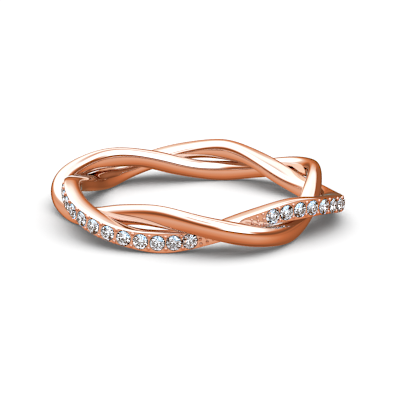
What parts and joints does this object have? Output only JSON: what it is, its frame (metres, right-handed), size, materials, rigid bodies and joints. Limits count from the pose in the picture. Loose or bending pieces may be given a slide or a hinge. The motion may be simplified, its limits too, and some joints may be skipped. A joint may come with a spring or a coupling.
{
  "type": "diamond band",
  "caption": "Twisted finger band of a plain polished strand and a strand set with round diamonds, woven round each other.",
  "frame": {"origin": "On the finger hole's axis, at the level of the surface that the ring rests on when it lies on its side", "axes": "+Z along the finger hole's axis, up out of the surface; +Y is away from the viewer of the picture and +X is to that viewer's right; the plain strand lies furthest out at 46.8 degrees from +X towards +Y"},
  "size_m": [0.0245, 0.0243, 0.0036],
  "materials": {
    "rose_gold": "mirror polished",
    "diamond": "polished facets"
  },
  "bodies": {
    "root": {"plain_strand": "rose_gold", "diamond_strand": "rose_gold", "diamond_1_1": "diamond", "diamond_1_2": "diamond", "diamond_1_3": "diamond", "diamond_1_4": "diamond", "diamond_1_5": "diamond", "diamond_1_6": "diamond", "diamond_1_7": "diamond", "diamond_1_8": "diamond", "diamond_1_9": "diamond", "diamond_1_10": "diamond", "diamond_1_11": "diamond", "diamond_1_12": "diamond", "diamond_1_13": "diamond", "diamond_1_14": "diamond", "diamond_2_1": "diamond", "diamond_2_2": "diamond", "diamond_2_3": "diamond", "diamond_2_4": "diamond", "diamond_2_5": "diamond", "diamond_2_6": "diamond", "diamond_2_7": "diamond", "diamond_2_8": "diamond", "diamond_2_9": "diamond", "diamond_2_10": "diamond", "diamond_2_11": "diamond", "diamond_2_12": "diamond", "diamond_2_13": "diamond", "diamond_2_14": "diamond", "diamond_3_1": "diamond", "diamond_3_2": "diamond", "diamond_3_3": "diamond", "diamond_3_4": "diamond", "diamond_3_5": "diamond", "diamond_3_6": "diamond", "diamond_3_7": "diamond", "diamond_3_8": "diamond", "diamond_3_9": "diamond", "diamond_3_10": "diamond", "diamond_3_11": "diamond", "diamond_3_12": "diamond", "diamond_3_13": "diamond", "diamond_3_14": "diamond"}
  },
  "joints": []
}
